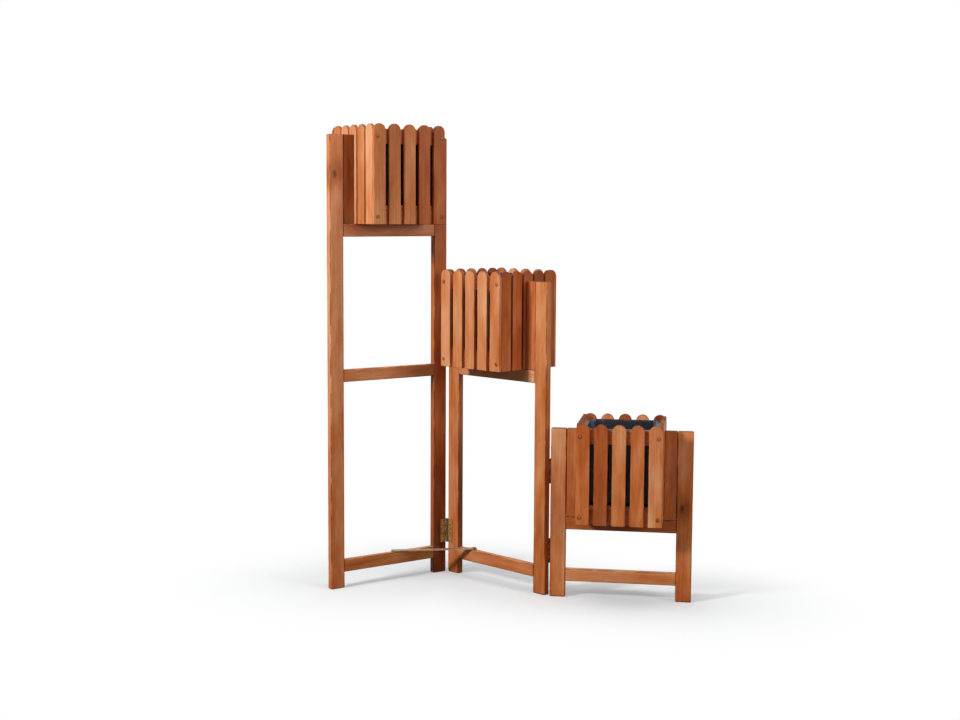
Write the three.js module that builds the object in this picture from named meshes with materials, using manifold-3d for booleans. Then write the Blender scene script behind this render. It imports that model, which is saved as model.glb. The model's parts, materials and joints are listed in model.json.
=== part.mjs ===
// Folding plant ladder stand.
//
// Three flat ladder frames of stepped height stand in a zig-zag, like a folding screen. Each frame carries
// a square picket planter box at its top, with a slatted floor and a film liner inside. Butt hinges join
// the frames: the tall and middle frames fold front to front, the middle and low frames back to back.
// A flat spreader bar lies over the bottom rails and holds the tall frame's angle.
//
// Millimetres, +Z up. Each frame is built with X along its width from its left outer edge, Y from its
// front face towards its back, and Z from the floor. The middle frame's X and Y are the stand's own.
// The stand's origin is on the floor, below the centre of its outer box.

import * as THREE from "three";
import { mergeVertices } from "three/addons/utils/BufferGeometryUtils.js";
import Module from "manifold-3d";

const wasm = await Module();
wasm.setup();

// ---- Driving dimensions ----

const FIT = 0.3; // gap between pieces that touch

// Ladder frames
const frameWidth = 360;
const postWidth = 40;
const timberDepth = 18; // posts and rails, front to back
const timberEdge = 1.5; // bevel along the edges of posts and rails
const lowHeight = 437; // height of the low frame's posts
const tierStep = 370; // how much taller each next frame is
const railHeight = 32;
const bottomRailLift = 42; // underside of the bottom rails above the floor
const nestDrop = 5; // the tall frame's middle rail lies this far below the planter that folds over it
const tenonLength = 12;
const tenonThickness = 8;
const tenonShoulder = 5; // step above and below a tenon

// Planter boxes
const planterWidth = 214;
const planterDepth = 212;
const picketsPerSide = 5;
const picketWidth = 34;
const picketThickness = 9;
const picketHeight = 254;
const picketRise = 26; // picket tops above the post tops
const battenHeight = 37;
const battenThickness = 12;
const upperBattenDrop = 14; // top of the upper batten below the picket tops
const lowerBattenLift = 1; // underside of the lower batten above the picket feet
const fillerThickness = 15;
const slatCount = 5;
const slatGap = 8;
const slatThickness = 10;
const cleatWidth = 30;
const linerThickness = 1;
const linerLip = 9; // width of the rim folded over the upper battens

// Screws in the picket panels
const screwHeadRadius = 3.5;
const screwHeadRise = 1;
const screwInset = 10; // from the panel's side edge

// Hinges
const hingeLength = 64;
const leafWidth = 19;
const leafThickness = 1.5;
const barrelRadius = 3;
const hingePinRadius = 1.3;
const pinHeadRadius = 2.6;
const pinHeadHeight = 1.4;
const knuckleCount = 5;
const postGap = 2; // between the posts of neighbouring frames when they lie flat
const leafScrewRadius = 2.9;
const leafScrewRise = 0.6;
const leafScrewSpacing = 22;
const hingeInset = 115; // hinge centres above the floor, and below the top of the shorter frame's posts
const tallTurn = 81; // degrees from in line with the middle frame
const lowTurn = 36;

// Spreader bar
const barWidth = 16;
const barThickness = 2.5;
const barPivotReach = 93; // pivot, from the middle frame's left edge
const barCatchReach = 162; // catch, from the tall frame's hinged edge
const washerRadius = 7;
const washerThickness = 1.4;
const barScrewRadius = 2.2;
const barScrewHeadRadius = 5;
const barScrewHeadHeight = 2.8;
const barScrewLength = 22; // below the rail's top

// Facets round the circles
const PICKET_ARC = 10;
const ROUND = 12;
const SMALL_ROUND = 8;

// ---- Sizes that follow ----

const fillerHeight = picketHeight - picketRise;
const middleHeight = lowHeight + tierStep;
const tallHeight = middleHeight + tierStep;
const bottomRailTop = bottomRailLift + railHeight;
const barrelOffset = FIT + barrelRadius; // hinge axis in front of the face that carries the hinge
const planterLeft = (frameWidth - planterWidth) / 2;
const planterFront = (timberDepth - planterDepth) / 2;
const upperBattenTop = picketHeight - upperBattenDrop;
const upperBattenBottom = upperBattenTop - battenHeight;
const lowerBattenTop = lowerBattenLift + battenHeight;
const wallThickness = picketThickness + battenThickness;
const floorTop = lowerBattenTop + FIT + slatThickness;

// ---- Geometry helpers ----

// A closed geometry as a solid that can be joined and cut.
function solidOf(geometry) {
  const bare = geometry.clone();
  bare.deleteAttribute("normal");
  bare.deleteAttribute("uv");
  const merged = mergeVertices(bare, 1e-4);
  return new wasm.Manifold(
    new wasm.Mesh({
      numProp: 3,
      vertProperties: new Float32Array(merged.attributes.position.array),
      triVerts: new Uint32Array(merged.index.array),
    }),
  );
}

function geometryOf(solid) {
  const mesh = solid.getMesh();
  const geometry = new THREE.BufferGeometry();
  geometry.setAttribute("position", new THREE.BufferAttribute(mesh.vertProperties, 3));
  geometry.setIndex(new THREE.BufferAttribute(mesh.triVerts, 1));
  return geometry;
}

function join(geometries) {
  const solids = geometries.map(solidOf);
  return geometryOf(solids.reduce((whole, next) => whole.add(next)));
}

function cut(geometry, tools) {
  const rest = tools.map(solidOf).reduce((left, tool) => left.subtract(tool), solidOf(geometry));
  return geometryOf(rest);
}

// A box between two corners.
function block([x0, y0, z0], [x1, y1, z1]) {
  const box = new THREE.BoxGeometry(x1 - x0, y1 - y0, z1 - z0);
  return box.translate((x0 + x1) / 2, (y0 + y1) / 2, (z0 + z1) / 2);
}

// A rectangle from the origin with its corners cut off.
function bevelledRectangle(width, height, edge) {
  const shape = new THREE.Shape();
  shape.moveTo(edge, 0);
  shape.lineTo(width - edge, 0);
  shape.lineTo(width, edge);
  shape.lineTo(width, height - edge);
  shape.lineTo(width - edge, height);
  shape.lineTo(edge, height);
  shape.lineTo(0, height - edge);
  shape.lineTo(0, edge);
  shape.closePath();
  return shape;
}

// A closed geometry mirrored in X, its faces still pointing out.
function mirrored(geometry) {
  const copy = geometry.clone().scale(-1, 1, 1);
  const order = copy.index.array;
  for (let i = 0; i < order.length; i += 3) {
    [order[i + 1], order[i + 2]] = [order[i + 2], order[i + 1]];
  }
  return copy;
}

// A cylinder that stands on z, in line with Z.
function rod(radius, height, x, y, z, facets) {
  const cylinder = new THREE.CylinderGeometry(radius, radius, height, facets);
  return cylinder.rotateX(Math.PI / 2).translate(x, y, z + height / 2);
}

// A low domed screw head whose back lies in the plane y = 0 and whose dome faces -Y.
function screwHead(radius, rise, x, y, z, sink) {
  const profile = [
    new THREE.Vector2(0, -sink),
    new THREE.Vector2(radius, -sink),
    new THREE.Vector2(radius, rise * 0.35),
    new THREE.Vector2(radius * 0.62, rise),
    new THREE.Vector2(0, rise),
  ];
  const head = new THREE.LatheGeometry(profile, SMALL_ROUND);
  return head.rotateX(Math.PI).translate(x, y, z);
}

// ---- Materials ----

function wood(colour) {
  return new THREE.MeshStandardMaterial({ color: colour, roughness: 0.62, metalness: 0 });
}

function film() {
  return new THREE.MeshStandardMaterial({ color: 0x2b292c, roughness: 0.3, metalness: 0 });
}

function brass() {
  return new THREE.MeshStandardMaterial({ color: 0x9a7448, roughness: 0.38, metalness: 0.85 });
}

function steel() {
  return new THREE.MeshStandardMaterial({ color: 0xb9b2a6, roughness: 0.35, metalness: 0.9 });
}

function addPiece(group, name, geometry, material) {
  const mesh = new THREE.Mesh(geometry, material);
  mesh.name = name;
  group.add(mesh);
}

// ---- Ladder frames ----

// Undersides of a frame's rails, by name.
function railLevels(height, nestedPlanterHeight) {
  const levels = {
    bottom_rail: bottomRailLift,
    top_rail: height - fillerHeight - FIT - railHeight,
  };
  if (nestedPlanterHeight) {
    levels.middle_rail = nestedPlanterHeight - fillerHeight - nestDrop - railHeight;
  }
  return levels;
}

// One post, with a mortise for each rail in its inner edge.
function postGeometry(height, levels, isLeft) {
  const upright = new THREE.ExtrudeGeometry(bevelledRectangle(postWidth, timberDepth, timberEdge), {
    depth: height - 2 * timberEdge,
    bevelEnabled: true,
    bevelSegments: 1,
    bevelThickness: timberEdge,
    bevelSize: timberEdge,
    bevelOffset: -timberEdge,
  });
  upright.translate(0, 0, timberEdge);
  const depth = tenonLength + FIT;
  const mouth = isLeft ? postWidth : 0;
  const end = isLeft ? postWidth - depth : depth;
  const side = isLeft ? 1 : -1;
  const halfThickness = tenonThickness / 2 + FIT;
  const mortises = Object.values(levels).map((z) =>
    block(
      [Math.min(end, mouth + side), timberDepth / 2 - halfThickness, z + tenonShoulder - FIT],
      [Math.max(end, mouth + side), timberDepth / 2 + halfThickness, z + railHeight - tenonShoulder + FIT],
    ),
  );
  return cut(upright, mortises);
}

// One rail between the posts, with a tenon at each end, from z = 0.
function railGeometry() {
  const length = frameWidth - 2 * postWidth - 2 * FIT;
  const left = postWidth + FIT;
  const stick = new THREE.ExtrudeGeometry(bevelledRectangle(timberDepth, railHeight, timberEdge), {
    depth: length,
    bevelEnabled: false,
  });
  stick.rotateX(Math.PI / 2).rotateZ(Math.PI / 2).translate(left, 0, 0);
  const tenons = block(
    [left - tenonLength, (timberDepth - tenonThickness) / 2, tenonShoulder],
    [left + length + tenonLength, (timberDepth + tenonThickness) / 2, railHeight - tenonShoulder],
  );
  return join([stick, tenons]);
}

// The board between a post and the planter.
function fillerGeometry() {
  const width = planterLeft - postWidth - 2 * FIT;
  const front = (timberDepth - fillerThickness) / 2;
  return block([0, front, 0], [width, front + fillerThickness, fillerHeight]);
}

function pilotHole(x) {
  return rod(barScrewRadius + FIT, barScrewLength + 1, x, timberDepth / 2, railHeight - barScrewLength, ROUND);
}

function ladderFrame(name, height, nestedPlanterHeight, holeReach, tones) {
  const frame = new THREE.Group();
  const levels = railLevels(height, nestedPlanterHeight);
  addPiece(frame, name + "_left_post", postGeometry(height, levels, true), wood(tones.left));
  const right = postGeometry(height, levels, false).translate(frameWidth - postWidth, 0, 0);
  addPiece(frame, name + "_right_post", right, wood(tones.right));
  for (const [rail, level] of Object.entries(levels)) {
    const drilled = rail === "bottom_rail" && holeReach !== null;
    const stick = drilled ? cut(railGeometry(), [pilotHole(holeReach)]) : railGeometry();
    addPiece(frame, name + "_" + rail, stick.translate(0, 0, level), wood(tones.rail));
  }
  const fillerBottom = height - fillerHeight;
  const leftFiller = fillerGeometry().translate(postWidth + FIT, 0, fillerBottom);
  addPiece(frame, name + "_left_filler", leftFiller, wood(tones.filler));
  const rightStart = planterLeft + planterWidth + FIT;
  const rightFiller = fillerGeometry().translate(rightStart, 0, fillerBottom);
  addPiece(frame, name + "_right_filler", rightFiller, wood(tones.filler));
  return frame;
}

// ---- Planter boxes ----

// A picket with a round top, its foot at z = 0 and its outer face at y = 0.
function picket(left) {
  const radius = picketWidth / 2;
  const outline = new THREE.Shape();
  outline.moveTo(0, 0);
  outline.lineTo(picketWidth, 0);
  outline.lineTo(picketWidth, picketHeight - radius);
  outline.absarc(radius, picketHeight - radius, radius, 0, Math.PI, false);
  outline.closePath();
  const board = new THREE.ExtrudeGeometry(outline, {
    depth: picketThickness,
    bevelEnabled: false,
    curveSegments: PICKET_ARC,
  });
  return board.rotateX(Math.PI / 2).translate(left, picketThickness, 0);
}

// A row of pickets of the given width on two battens whose ends stop short of its edges.
// The outer face looks towards -Y.
function picketPanel(width, battenShort, hasScrews) {
  const pitch = (width - picketWidth) / (picketsPerSide - 1);
  const pickets = Array.from({ length: picketsPerSide }, (_, i) => picket(i * pitch));
  const battens = [lowerBattenLift, upperBattenBottom].map((z) =>
    block([battenShort, picketThickness, z], [width - battenShort, wallThickness, z + battenHeight]),
  );
  const heads = [];
  if (hasScrews) {
    for (const x of [screwInset, width - screwInset]) {
      for (const z of [lowerBattenLift + battenHeight / 2, upperBattenBottom + battenHeight / 2]) {
        heads.push(screwHead(screwHeadRadius, screwHeadRise, x, 0, z, 1));
      }
    }
  }
  return join([...pickets, ...battens, ...heads]);
}

// Slats on two cleats, inside the pickets and on the lower battens. Its middle is at x = y = 0.
function floorGeometry() {
  const halfX = planterWidth / 2 - picketThickness - FIT;
  const halfY = planterDepth / 2 - picketThickness - FIT;
  const slatWidth = (2 * halfY - (slatCount - 1) * slatGap) / slatCount;
  const bottom = lowerBattenTop + FIT;
  const slats = Array.from({ length: slatCount }, (_, i) => {
    const front = -halfY + i * (slatWidth + slatGap);
    return block([-halfX, front, bottom], [halfX, front + slatWidth, floorTop]);
  });
  const cleatEnd = planterDepth / 2 - wallThickness - FIT;
  const cleatPlace = halfX / 2;
  const cleats = [-cleatPlace, cleatPlace].map((x) =>
    block([x - cleatWidth / 2, -cleatEnd, bottom - slatThickness], [x + cleatWidth / 2, cleatEnd, bottom]),
  );
  return join([...slats, ...cleats]);
}

// An open bag of film inside the battens, with its rim folded out over them. Its middle is at x = y = 0.
function linerGeometry() {
  const halfX = planterWidth / 2 - wallThickness - FIT;
  const halfY = planterDepth / 2 - wallThickness - FIT;
  const bottom = floorTop + FIT;
  const rim = upperBattenTop + FIT;
  const top = rim + linerThickness;
  const bag = block([-halfX, -halfY, bottom], [halfX, halfY, top]);
  const lip = block([-halfX - linerLip, -halfY - linerLip, rim], [halfX + linerLip, halfY + linerLip, top]);
  const hollow = block(
    [-halfX + linerThickness, -halfY + linerThickness, bottom + linerThickness],
    [halfX - linerThickness, halfY - linerThickness, top + 1],
  );
  return cut(join([bag, lip]), [hollow]);
}

function planter(name, tones) {
  const box = new THREE.Group();
  const frontPanel = picketPanel(planterWidth, wallThickness + FIT, true);
  frontPanel.translate(-planterWidth / 2, -planterDepth / 2, 0);
  const sideWidth = planterDepth - 2 * (picketThickness + FIT);
  const sidePanel = picketPanel(sideWidth, 0, false);
  sidePanel.translate(-sideWidth / 2, -planterWidth / 2, 0);
  addPiece(box, name + "_planter_front", frontPanel, wood(tones.front));
  addPiece(box, name + "_planter_right_side", sidePanel.clone().rotateZ(Math.PI / 2), wood(tones.side));
  addPiece(box, name + "_planter_back", frontPanel.clone().rotateZ(Math.PI), wood(tones.front));
  addPiece(box, name + "_planter_left_side", sidePanel.clone().rotateZ(-Math.PI / 2), wood(tones.side));
  addPiece(box, name + "_planter_floor", floorGeometry(), wood(tones.floor));
  addPiece(box, name + "_planter_liner", linerGeometry(), film());
  return box;
}

// A ladder frame with its planter, ready to be placed.
function tier(name, height, nestedPlanterHeight, holeReach, tones) {
  const group = ladderFrame(name, height, nestedPlanterHeight, holeReach, tones);
  const box = planter(name, tones);
  box.position.set(frameWidth / 2, timberDepth / 2, height - fillerHeight);
  group.add(box);
  return group;
}

// ---- Hinges ----

// One leaf, with its axis on Z at the origin. Its plate runs towards +X and its back is at y = barrelRadius.
function leafGeometry(ownsFirstKnuckle) {
  const bottom = -hingeLength / 2;
  const knucklePitch = (hingeLength + FIT) / knuckleCount;
  const knuckleLength = knucklePitch - FIT;
  const back = barrelRadius;
  const front = barrelRadius - leafThickness;
  const plateStart = barrelRadius + 2 * FIT;
  const parts = [block([plateStart, front, bottom], [leafWidth, back, -bottom])];
  for (let i = ownsFirstKnuckle ? 0 : 1; i < knuckleCount; i += 2) {
    const z = bottom + i * knucklePitch;
    parts.push(rod(barrelRadius, knuckleLength, 0, 0, z, ROUND));
    parts.push(block([0, front, z], [plateStart + 1, back, z + knuckleLength]));
  }
  for (const z of [-leafScrewSpacing, 0, leafScrewSpacing]) {
    const x = (plateStart + leafWidth) / 2;
    parts.push(screwHead(leafScrewRadius, leafScrewRise, x, front, z, leafThickness / 2));
  }
  const bore = rod(hingePinRadius + FIT, hingeLength + 2, 0, 0, bottom - 1, SMALL_ROUND);
  return cut(join(parts), [bore]);
}

function hingePinGeometry() {
  const foot = -hingeLength / 2;
  const neck = hingeLength / 2 + FIT;
  const profile = [
    new THREE.Vector2(0, foot),
    new THREE.Vector2(hingePinRadius, foot),
    new THREE.Vector2(hingePinRadius, neck),
    new THREE.Vector2(pinHeadRadius, neck),
    new THREE.Vector2(pinHeadRadius * 0.8, neck + pinHeadHeight),
    new THREE.Vector2(0, neck + pinHeadHeight),
  ];
  return new THREE.LatheGeometry(profile, SMALL_ROUND).rotateX(Math.PI / 2);
}

// The two hinges of one fold. A leaf drawn above lies in front of a face that looks towards -Y and runs
// to +X; mirrored in X it runs to -X.
function addHinges(name, shorterHeight, fixedSide, swingSide, fixedTurn) {
  const levels = { lower: hingeInset, upper: shorterHeight - hingeInset };
  for (const [place, z] of Object.entries(levels)) {
    const title = name + "_" + place + "_hinge_";
    const fixedLeaf = leafGeometry(true).rotateZ(fixedTurn).translate(0, 0, z);
    const swingLeaf = mirrored(leafGeometry(false)).rotateZ(fixedTurn).translate(0, 0, z);
    addPiece(fixedSide, title + "fixed_leaf", fixedLeaf, brass());
    addPiece(swingSide, title + "swing_leaf", swingLeaf, brass());
    addPiece(fixedSide, title + "pin", hingePinGeometry().translate(0, 0, z), brass());
  }
}

// ---- Assembly ----

const tallTones = {
  left: 0xb0683c,
  right: 0x9c562f,
  rail: 0xa05c34,
  filler: 0x92502b,
  front: 0xac633a,
  side: 0xc98458,
  floor: 0xa8653d,
};
const middleTones = {
  left: 0xc47a4a,
  right: 0xc98456,
  rail: 0xab653d,
  filler: 0x91502a,
  front: 0xcc8658,
  side: 0x98502a,
  floor: 0xa8653d,
};
const lowTones = {
  left: 0xbd713c,
  right: 0x98552c,
  rail: 0xaf6d45,
  filler: 0xa45c34,
  front: 0xa85730,
  side: 0xa45a33,
  floor: 0xa8653d,
};

const stand = new THREE.Group();
stand.add(tier("middle", middleHeight, null, barPivotReach, middleTones));

// The tall frame hangs on the axis at the middle frame's left edge, in front of its front face.
const tallAxis = new THREE.Group();
tallAxis.position.set(-postGap / 2, -barrelOffset, 0);
const tallSwing = new THREE.Group();
tallSwing.rotation.z = THREE.MathUtils.degToRad(tallTurn);
tallAxis.add(tallSwing);
const tallTier = tier("tall", tallHeight, middleHeight, frameWidth - barCatchReach, tallTones);
tallTier.position.set(-frameWidth - postGap / 2, barrelOffset, 0);
tallSwing.add(tallTier);
addHinges("tall", middleHeight, tallAxis, tallSwing, 0);
stand.add(tallAxis);

// The low frame hangs on the axis at the middle frame's right edge, behind its back face.
const lowAxis = new THREE.Group();
lowAxis.position.set(frameWidth + postGap / 2, timberDepth + barrelOffset, 0);
const lowSwing = new THREE.Group();
lowSwing.rotation.z = THREE.MathUtils.degToRad(lowTurn);
lowAxis.add(lowSwing);
const lowTier = tier("low", lowHeight, null, null, lowTones);
lowTier.position.set(postGap / 2, -timberDepth - barrelOffset, 0);
lowSwing.add(lowTier);
addHinges("low", lowHeight, lowAxis, lowSwing, Math.PI);
stand.add(lowAxis);

// The spreader bar runs from its pivot on the middle frame's bottom rail to the catch on the tall frame's.
stand.updateMatrixWorld(true);
const pivot = new THREE.Vector3(barPivotReach, timberDepth / 2, bottomRailTop);
const catchPoint = new THREE.Vector3(frameWidth - barCatchReach, timberDepth / 2, bottomRailTop);
tallTier.localToWorld(catchPoint);
const barReach = pivot.distanceTo(catchPoint);
const barBottom = FIT + washerThickness + FIT; // above the rail's top

function barGeometry() {
  const radius = barWidth / 2;
  const outline = new THREE.Shape();
  outline.absarc(0, 0, radius, Math.PI / 2, (3 * Math.PI) / 2, false);
  outline.absarc(barReach, 0, radius, -Math.PI / 2, Math.PI / 2, false);
  outline.closePath();
  for (const x of [0, barReach]) {
    const hole = new THREE.Path();
    hole.absarc(x, 0, barScrewRadius + FIT, 0, 2 * Math.PI, true);
    outline.holes.push(hole);
  }
  return new THREE.ExtrudeGeometry(outline, {
    depth: barThickness,
    bevelEnabled: false,
    curveSegments: SMALL_ROUND,
  });
}

// A screw whose shank ends at the given length below z = 0, with its head or flat top above.
function barScrewGeometry(neck, headRadius, headHeight) {
  const profile = [
    new THREE.Vector2(0, -barScrewLength + FIT),
    new THREE.Vector2(barScrewRadius, -barScrewLength + FIT),
    new THREE.Vector2(barScrewRadius, neck),
    new THREE.Vector2(headRadius, neck),
    new THREE.Vector2(headRadius * 0.6, neck + headHeight),
    new THREE.Vector2(0, neck + headHeight),
  ];
  return new THREE.LatheGeometry(profile, ROUND).rotateX(Math.PI / 2);
}

function washerGeometry() {
  const outline = new THREE.Shape();
  outline.absarc(0, 0, washerRadius, 0, 2 * Math.PI, false);
  const hole = new THREE.Path();
  hole.absarc(0, 0, barScrewRadius + FIT, 0, 2 * Math.PI, true);
  outline.holes.push(hole);
  return new THREE.ExtrudeGeometry(outline, {
    depth: washerThickness,
    bevelEnabled: false,
    curveSegments: SMALL_ROUND,
  });
}

const spreader = new THREE.Group();
spreader.position.copy(pivot);
const turned = new THREE.Group();
turned.rotation.z = Math.atan2(catchPoint.y - pivot.y, catchPoint.x - pivot.x);
addPiece(turned, "spreader_bar", barGeometry().translate(0, 0, barBottom), brass());
spreader.add(turned);
addPiece(spreader, "spreader_washer", washerGeometry().translate(0, 0, FIT), steel());
const neck = barBottom + barThickness + FIT;
addPiece(spreader, "spreader_screw", barScrewGeometry(neck, barScrewHeadRadius, barScrewHeadHeight), brass());
stand.add(spreader);

const barCatch = new THREE.Group();
barCatch.position.copy(catchPoint);
addPiece(barCatch, "spreader_catch", barScrewGeometry(FIT, barScrewHeadRadius, barBottom - 2 * FIT), brass());
stand.add(barCatch);

// The origin goes to the floor, below the centre of the outer box.
const bounds = new THREE.Box3().setFromObject(stand);
stand.position.set(-(bounds.min.x + bounds.max.x) / 2, -(bounds.min.y + bounds.max.y) / 2, 0);

export default stand;
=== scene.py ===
"""A folding plant ladder stand: three ladder frames with picket planters, hinged in a zig-zag.

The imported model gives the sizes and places. Each piece is built in its own frame's axes, in metres: X along
the frame's width, Y from its front to its back, Z up. At rest the tall and low frames stand turned about
their folds, and the spreader bar about its pivot.
"""

import functools
import json
import math
import random
import zlib

import bpy
import numpy as np
from mathutils import Matrix, Vector, noise

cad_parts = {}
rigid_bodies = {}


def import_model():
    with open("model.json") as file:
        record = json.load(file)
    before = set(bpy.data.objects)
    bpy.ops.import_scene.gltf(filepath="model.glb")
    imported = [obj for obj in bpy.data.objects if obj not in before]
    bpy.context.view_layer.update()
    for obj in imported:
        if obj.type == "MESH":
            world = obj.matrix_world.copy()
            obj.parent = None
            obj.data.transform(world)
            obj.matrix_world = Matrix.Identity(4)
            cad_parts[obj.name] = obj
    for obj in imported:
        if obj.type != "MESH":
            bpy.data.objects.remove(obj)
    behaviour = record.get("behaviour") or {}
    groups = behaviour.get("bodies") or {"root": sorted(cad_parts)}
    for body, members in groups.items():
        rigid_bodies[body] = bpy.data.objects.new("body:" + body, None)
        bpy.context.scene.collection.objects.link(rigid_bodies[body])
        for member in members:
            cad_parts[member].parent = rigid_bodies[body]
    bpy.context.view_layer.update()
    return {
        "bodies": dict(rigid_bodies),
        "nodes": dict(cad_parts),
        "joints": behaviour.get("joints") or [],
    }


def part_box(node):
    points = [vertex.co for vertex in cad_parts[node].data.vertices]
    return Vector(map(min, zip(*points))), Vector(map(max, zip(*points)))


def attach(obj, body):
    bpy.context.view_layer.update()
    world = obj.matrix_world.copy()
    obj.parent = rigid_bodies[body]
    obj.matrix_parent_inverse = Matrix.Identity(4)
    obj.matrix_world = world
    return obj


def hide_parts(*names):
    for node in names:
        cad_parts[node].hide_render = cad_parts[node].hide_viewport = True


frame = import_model()

# ---- Sizes, in metres ----

MM = 0.001
FIT = 0.3 * MM  # gap between pieces that touch

TIMBER_EDGE = 2.3 * MM  # rounding along posts and rails
POST_EASE = 3.6 * MM  # rounding at the posts' ends
RAIL_EASE = 0.5 * MM
FILLER_EDGE = 2.0 * MM  # rounding all round a filler's faces
THIN_EDGE = 1.0 * MM  # rounding on pickets, battens and slats
TENON_LENGTH = 12 * MM  # hidden in the posts, so the rails are drawn without them
WEAR_DEPTH = 0.45 * MM  # deepest dent in a worn edge
STATION_STEP = 14 * MM  # between the rings of points along a board
FOOT_DARKENING = 0.12  # how much darker and redder a post is towards its foot
FOOT_REACH = 500 * MM  # how far up a post the darker foot fades out

PLANTER_WIDTH = 214 * MM
PLANTER_DEPTH = 212 * MM
PICKETS = 5
PICKET_WIDTH = 34 * MM
PICKET_THICKNESS = 9 * MM
PICKET_HEIGHT = 254 * MM
PICKET_SLACK = 0.8 * MM  # how much a picket may be cut short or sit off its place
BATTEN_HEIGHT = 37 * MM
BATTEN_THICKNESS = 12 * MM
UPPER_BATTEN_DROP = 14 * MM
LOWER_BATTEN_LIFT = 1 * MM
WALL_THICKNESS = PICKET_THICKNESS + BATTEN_THICKNESS
SLATS = 5
SLAT_GAP = 8 * MM
SLAT_THICKNESS = 10 * MM
CLEAT_WIDTH = 30 * MM
LINER_LIP = 9 * MM

PANEL_SCREW_RADIUS = 3.4 * MM
PANEL_SCREW_RISE = 0.9 * MM
PANEL_SCREW_INSET = 10 * MM
SCREW_HEIGHTS = (
    LOWER_BATTEN_LIFT + BATTEN_HEIGHT / 2,
    PICKET_HEIGHT - UPPER_BATTEN_DROP - BATTEN_HEIGHT / 2,
)

LEAF_WIDTH = 19 * MM
LEAF_THICKNESS = 1.5 * MM
BARREL_RADIUS = 3 * MM
PIN_RADIUS = 1.3 * MM
PIN_HEAD_RADIUS = 2.6 * MM
PIN_HEAD_HEIGHT = 1.4 * MM
KNUCKLES = 5
LEAF_SCREW_RADIUS = 2.8 * MM
LEAF_SCREW_RISE = 0.5 * MM
LEAF_SCREW_SPACING = 22 * MM

BAR_WIDTH = 16 * MM
BAR_SCREW_RADIUS = 2.2 * MM
BAR_HEAD_RADIUS = 5 * MM
WASHER_RADIUS = 7 * MM
METAL_EDGE = 0.25 * MM

CORNER_STEPS = 4  # faces round a board's edge
EASE_STEPS = 3
ARC_STEPS = 24  # round a picket's top
ROUND_STEPS = 40  # round a screw or a barrel

# ---- The frames' own axes ----

rest_turn = dict.fromkeys(frame["bodies"], 0.0)
fold_place = {}
for joint in frame["joints"]:
    if joint["name"].endswith("_fold"):
        rest_turn[joint["child"]] = math.radians(-joint["range_deg"][0])
        fold_place[joint["child"]] = Vector(joint["pos_m"])


def axes_of(body):
    """Turns a frame's own axes to the stand's."""
    return Matrix.Rotation(rest_turn[body], 4, "Z")


def own_box(node, body):
    """The lowest and highest corners of a CAD node, in a frame's own axes."""
    back = np.array(axes_of(body).inverted().to_3x3())
    points = np.array([vertex.co for vertex in frame["nodes"][node].data.vertices]) @ back.T
    return Vector(points.min(0)), Vector(points.max(0))


def middle_of(node):
    low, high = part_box(node)
    return (low + high) / 2


# ---- Colours ----


def linear(red, green, blue):
    """A colour written as on screen, from 0 to 255, in linear light."""
    return tuple(((c / 255 + 0.055) / 1.055) ** 2.4 if c > 10 else c / 3294.6 for c in (red, green, blue))


# A board's tone: how light it is, and how red, from 0 to 1.
TONES = {
    "pale": (0.74, 0.25),
    "sand": (0.67, 0.30),
    "honey": (0.72, 0.05),
    "amber": (0.58, 0.25),
    "rose": (0.63, 0.60),
    "russet": (0.54, 0.85),
    "brown": (0.52, 0.42),
    "rust": (0.49, 0.85),
    "umber": (0.42, 0.65),
}

# ---- Shader nodes ----


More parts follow.
